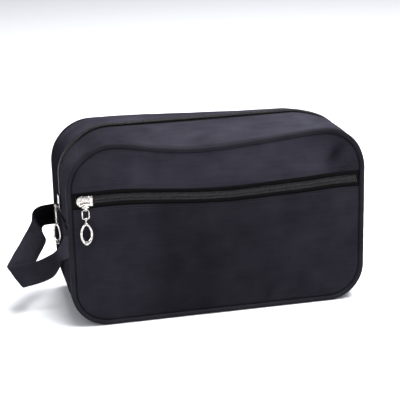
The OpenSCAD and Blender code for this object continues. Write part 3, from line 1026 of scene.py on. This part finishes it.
def top_coil(word, side):
    run = top_run(ZIP_END_Z) + 2 * MM
    for end_name, end in ENDS:

        def guide(a):
            r = end * a
            depth = TAPE_DEPTH - COIL_RISE + tuck(r) - ride_up(r)
            return soften(over_top(r, depth, 0)), Vector((0, side, 0)), out_of_top(r)

        piece = coil(f"top_coil_{word}_{end_name}", run, guide, 0.0 if side < 0 else 0.5)
        flap_blend(piece, end)
        if end < 0:
            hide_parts(f"end_coil_{word}", f"top_coil_{word}")


def pocket_zip():
    for word, up in (("upper", 1), ("lower", -1)):
        tape = sheet(f"pocket_tape_{word}_woven", 120, 8,
                     lambda u, v: ((2 * u - 1) * POCKET_TAPE_END, TAPE_GAP + v * TAPE_W),
                     lambda a, b: soften((a, -POCKET_TAPE_Y, POCKET_ZIP_Z + up * b)), TAPE, TAPE_T)
        stand_in(tape, "zip_tape", f"pocket_tape_{word}")

        def guide(a):
            here = soften((a - POCKET_COIL_END, -POCKET_TAPE_Y - COIL_RISE, POCKET_ZIP_Z))
            return here, Vector((0, 0, up)), Vector((0, -1, 0))

        chain = coil(f"pocket_coil_{word}_wire", 2 * POCKET_COIL_END, guide, 0.0 if up > 0 else 0.5)
        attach(chain, "root")
        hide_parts(f"pocket_coil_{word}")


# The metal of the sliders and their pulls. The top zip's pull hangs turned between the front and the end.
TOP_PULL_TURN = math.radians(60)


def polished(node, body, bevel):
    """A carried-over metal piece with its edges rounded off"""
    bm = bmesh.new()
    bm.from_mesh(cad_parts[node].data)
    bmesh.ops.remove_doubles(bm, verts=bm.verts, dist=0.01 * MM)
    bmesh.ops.dissolve_limit(bm, angle_limit=math.radians(1.5), verts=bm.verts, edges=bm.edges)
    sharp = [e for e in bm.edges if e.is_manifold and e.calc_face_angle(0) > math.radians(35)]
    if bevel:
        bmesh.ops.bevel(bm, geom=sharp, affect="EDGES", offset=bevel, segments=2, profile=0.5, material=-1,
                        clamp_overlap=True)
    bmesh.ops.recalc_face_normals(bm, faces=bm.faces)
    piece = add_object(f"{node}_plated", bm, NICKEL)
    stand_in(piece, "polished_nickel", node, body=body)


def drop_pull(node, turn):
    """The pull: an open drop, pointed below, whose rails are ridged and thicken towards both ends. It faces
    the front or, by an angle, the loop's end."""
    across = Vector((math.cos(turn), -math.sin(turn), 0))
    out = Vector((-math.sin(turn), -math.cos(turn), 0))
    low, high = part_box(node)
    middle = (low + high) / 2
    pocket_low, pocket_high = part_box("pocket_pull")
    half_w = (pocket_high.x - pocket_low.x) / 2
    half_h = (high.z - low.z) / 2
    rail, top_end, low_end, ridge = 2.3 * MM, 2.8 * MM, 3.8 * MM, 1.05 * MM

    def loop(angle, half_width, up, down):
        sag = math.sin(angle)
        taper = 1 - 0.2 * max(0.0, -sag) ** 3 - 0.22 * max(0.0, sag) ** 3
        return Vector((half_width * math.cos(angle) * taper, (up if sag > 0 else down) * sag))

    def lift(a, b):
        angle = 2 * math.pi * a
        far = loop(angle, half_w, half_h, half_h)
        near = loop(angle, half_w - rail, half_h - top_end, half_h - low_end)
        round_rail = 2 * math.pi * b
        flat_place = (far + near) / 2 + (far - near) / 2 * math.cos(round_rail)
        rise = ridge * math.copysign(abs(math.sin(round_rail)) ** 1.2, math.sin(round_rail))
        return middle + across * flat_place.x + Vector((0, 0, 1)) * flat_place.y + out * rise

    bm = cloth_grid(80, 12, lambda u, v: (u, v), lift, closed=True)
    piece = add_object(f"{node}_plated", bm, NICKEL)
    stand_in(piece, "polished_nickel", node, body=node)


def metal():
    for zip_name, turn in (("pocket", 0.0), ("top", TOP_PULL_TURN)):
        polished(f"{zip_name}_slider", f"{zip_name}_slider", 0.3 * MM)
        polished(f"{zip_name}_slider_bail", f"{zip_name}_slider", 0)
        polished(f"{zip_name}_lug", f"{zip_name}_lug", 0.15 * MM)
        polished(f"{zip_name}_ring", f"{zip_name}_ring", 0)
        polished(f"{zip_name}_neck", f"{zip_name}_pull", 0.12 * MM)
        drop_pull(f"{zip_name}_pull", turn)


# The carry loop: its strap from seam to seam, as pairs of upper and lower edge points in millimetres
STRAP_ROUTE = [
    ((-129.4, -49, 83), (-129.6, -49, 63)),
    ((-131.4, -46, 82), (-131.4, -46, 62)),
    ((-131.9, -30, 73), (-131.9, -27, 54)),
    ((-132.0, -18, 66.5), (-132.0, -12, 48)),
    ((-132.6, -14.5, 64), (-132.6, -9, 45.5)),
    ((-135, -11.5, 59.5), (-135, -8.5, 39.5)),
    ((-140.2, -9.5, 54), (-140.2, -9, 32.8)),
    ((-154, -8, 48), (-150, -8, 28.5)),
    ((-170, -8.5, 46), (-161, -8.5, 26.5)),
    ((-178.6, -8.5, 45.2), (-166.8, -8.5, 25.5)),
    ((-178.6, -5, 46.2), (-166.8, -5, 26.6)),
    ((-174, 2, 50.3), (-162.6, 2, 30.3)),
    ((-165, 16, 58), (-153.6, 16, 38)),
    ((-156, 30, 65.7), (-144.6, 30, 46)),
    ((-151.6, 37.5, 70.5), (-140.8, 37, 51.5)),
    ((-149.6, 42.5, 77), (-143.6, 42, 59)),
    ((-144, 45.5, 80.5), (-141, 45, 62.5)),
    ((-133.5, 48.8, 81), (-133.5, 48.8, 62)),
    ((-129.6, 49.4, 81), (-129.6, 49.4, 62)),
]


def along_curve(points, t):
    """A smooth curve through points: Catmull-Rom with t from 0 to 1"""
    spot = clamp(t) * (len(points) - 1)
    i = min(int(spot), len(points) - 2)
    f = spot - i
    p0, p1 = points[max(i - 1, 0)], points[i]
    p2, p3 = points[i + 1], points[min(i + 2, len(points) - 1)]
    return 0.5 * ((2 * p1) + (p2 - p0) * f + (2 * p0 - 5 * p1 + 4 * p2 - p3) * f * f
                  + (3 * p1 - p0 - 3 * p2 + p3) * f ** 3)


STRAP_UPPER = [Vector(a) * MM for a, _ in STRAP_ROUTE]
STRAP_LOWER = [Vector(b) * MM for _, b in STRAP_ROUTE]


def strap_lengths():
    """Distances along the strap's middle, for a table of places t"""
    ts = np.linspace(0, 1, 400)
    middles = [(along_curve(STRAP_UPPER, t) + along_curve(STRAP_LOWER, t)) / 2 for t in ts]
    steps = [0.0] + [(b - a).length for a, b in zip(middles, middles[1:])]
    return ts, np.cumsum(steps)


STRAP_TS, STRAP_RUNS = strap_lengths()
STRAP_LENGTH = float(STRAP_RUNS[-1])
STRAP_T = 1.5 * MM
STRAP_STITCH_IN = 2.4 * MM
STRAP_CROSS_SEAM = 66 * MM


def strap_place(a, b, rise=0.0):
    """A place on the strap, a distance a along it and b up from its lower edge, and the way out of it"""
    t = float(np.interp(a, STRAP_RUNS, STRAP_TS))
    step = 0.002
    behind, here, ahead = [along_curve(STRAP_LOWER, s).lerp(along_curve(STRAP_UPPER, s), b / STRAP_W)
                           for s in (t - step, t, t + step)]
    out = (ahead - behind).cross(along_curve(STRAP_UPPER, t) - along_curve(STRAP_LOWER, t)).normalized()
    edge = min(b, STRAP_W - b)
    loose = ease(a / (8 * MM)) * ease((STRAP_LENGTH - a) / (8 * MM))
    wave = ripple((a, b, 9.1), 14 * MM, 0.7 * MM) + ripple((a, b, 4.4), 6 * MM, 0.2 * MM)
    groove = 0.25 * MM * bell(edge - STRAP_STITCH_IN, 0.7 * MM)
    return here + out * (loose * wave - math.copysign(groove, rise) + rise), out


def strap_stitch(a, b, face):
    """A place for a stitch on the strap's outer (face 1) or inner (face -1) side, and the way out of it"""
    return strap_place(a, b, face * 0.52 * STRAP_T)[0], strap_place(a, b)[1] * face


def strap_stitches():
    """Topstitching along both edges, and across the strap where its front leg turns out of the side"""
    for edge_name, b in (("lower", STRAP_STITCH_IN), ("upper", STRAP_W - STRAP_STITCH_IN)):
        for face_name, face in (("outer", 1), ("inner", -1)):
            row = stitch_row(f"strap_stitches_{edge_name}_{face_name}", 2 * MM, STRAP_LENGTH - 2 * MM,
                             lambda a: strap_stitch(a, b, face))
            strap_blend(row)
    for name, a in (("strap_cross_stitches", STRAP_CROSS_SEAM), ("strap_root_stitches", 5 * MM)):
        row = stitch_row(name, 2 * MM, STRAP_W - 2 * MM, lambda b: strap_stitch(a, b, 1))
        strap_blend(row)


def strap_painted_light_and_shade(p):
    """Painted light and shade on the strap: the front leg, which faces the light, is painted lightest, the
    inside next, and the stretch at the back seam painted darkest, as shade
    """
    front_leg = 1.0 - ease((-131 * MM - p.x) / (7 * MM)) if p.y < -7 * MM else 0.0
    back_leg = ease((p.y - 36 * MM) / (6 * MM))
    inside = 0.6 * ease((p.y + 8 * MM) / (3 * MM)) * (1 - back_leg)
    return 0.9 * front_leg + inside - 0.8 * back_leg


def strap_blend(piece):
    """Bakes the piece's transform into its mesh"""
    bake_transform(piece)


def carry_loop():
    rows = knots((0, 0), (0.07, 0.5 * MM), (0.3, 4 * MM), (0.7, STRAP_W - 4 * MM), (0.93, STRAP_W - 0.5 * MM),
                 (1, STRAP_W))
    bm = cloth_grid(260, 20, lambda u, v: (u * STRAP_LENGTH, rows(v)), lambda a, b: strap_place(a, b)[0])
    bm.normal_update()
    ribbon = add_object("carry_loop_strap", bm, STRAP)
    wall = ribbon.modifiers.new("cloth", "SOLIDIFY")
    wall.thickness = STRAP_T
    wall.offset = 0
    fold = ribbon.modifiers.new("folded_edge", "BEVEL")
    fold.width = 0.55 * MM
    fold.segments = 3
    fold.limit_method = "ANGLE"
    fold.angle_limit = math.radians(60)
    settle(ribbon)
    set_painted_light_and_shade(ribbon, strap_painted_light_and_shade)
    strap_blend(ribbon)
    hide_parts("strap_tab_front", "strap_tab_back", "strap_loop")
    strap_stitches()


# Camera, light and floor
def camera():
    azimuth, elevation, roll = math.radians(12.63), math.radians(17.44), math.radians(1.45)
    target = Vector((-5.33, 0, 87.55)) * MM
    distance = 1142.72 * MM
    back = Vector((-math.sin(azimuth) * math.cos(elevation), -math.cos(azimuth) * math.cos(elevation),
                   math.sin(elevation)))
    right = Vector((math.cos(azimuth), -math.sin(azimuth), 0))
    up = back.cross(right)
    tilted_right = right * math.cos(roll) - up * math.sin(roll)
    tilted_up = up * math.cos(roll) + right * math.sin(roll)
    data = bpy.data.cameras.new("camera")
    data.lens = 115.73
    data.sensor_width = 36
    data.clip_end = 50
    obj = bpy.data.objects.new("camera", data)
    turn = Matrix((tilted_right, tilted_up, back)).transposed().to_4x4()
    obj.matrix_world = Matrix.Translation(target + back * distance) @ turn
    bpy.context.scene.collection.objects.link(obj)
    bpy.context.scene.camera = obj


def softbox(name, place, aim, size, power):
    data = bpy.data.lights.new(name, "AREA")
    data.shape = "RECTANGLE"
    data.size, data.size_y = size
    data.energy = power
    obj = bpy.data.objects.new(name, data)
    place, aim = Vector(place), Vector(aim)
    obj.matrix_world = Matrix.Translation(place) @ (aim - place).to_track_quat("-Z", "Y").to_matrix().to_4x4()
    bpy.context.scene.collection.objects.link(obj)


def studio():
    bm = bmesh.new()
    bmesh.ops.create_grid(bm, x_segments=8, y_segments=8, size=6)
    floor = add_object("floor", bm, floor_material("white_paper"))
    world = bpy.data.worlds.new("studio")
    bpy.context.scene.world = world
    world.use_nodes = True
    tree = world.node_tree
    background = tree.nodes["Background"]
    coords = tree.nodes.new("ShaderNodeTexCoord")
    parts = tree.nodes.new("ShaderNodeSeparateXYZ")
    ramp = tree.nodes.new("ShaderNodeMapRange")
    ramp.inputs["From Min"].default_value = 0.0
    ramp.inputs["From Max"].default_value = 1.0
    ramp.inputs["To Min"].default_value = 0.3
    ramp.inputs["To Max"].default_value = 0.5
    tree.links.new(coords.outputs["Generated"], parts.inputs[0])
    tree.links.new(parts.outputs["Z"], ramp.inputs["Value"])
    tree.links.new(ramp.outputs["Result"], background.inputs["Strength"])
    background.inputs["Color"].default_value = (0.9, 0.93, 1, 1)
    softbox("overhead_box", (0.3, -0.1, 1.5), (0, 0, 0.1), (1.4, 1.0), 62)
    softbox("front_top_box", (0.2, -1.8, 1.2), (0, 0, 0.12), (1.4, 0.8), 7)
    softbox("left_box", (-1.3, -0.75, 0.45), (0, 0, 0.08), (0.3, 0.6), 7)
    softbox("right_box", (1.5, -0.8, 0.6), (0, 0, 0.08), (0.4, 0.6), 4)
    bpy.context.scene.view_settings.view_transform = "Standard"


camera()
studio()
front_upper_panel()
pocket_panel()
plain_panel("back_panel_cloth", "back_panel", "shell_nylon", SHELL, back_surface, SEAM_DEPTH)
plain_panel("back_lining_cloth", "back_lining", "lining", LINING, back_lining_surface, 2 * BEAD_R + 4 * MM,
            rows=40)
plain_panel("pocket_backing_cloth", "pocket_backing", "lining", LINING, backing_surface, 3 * MM,
            rows=40)
gusset_lining()
window_stitches()
piping("front", -1)
piping("back", 1)
binding("front", -1)
binding("back", 1)
base_gusset()
top_strips("front", -1)
top_strips("back", 1)
top_tape("front", -1)
top_tape("back", 1)
top_coil("front", -1)
top_coil("back", 1)
pocket_zip()
metal()
carry_loop()
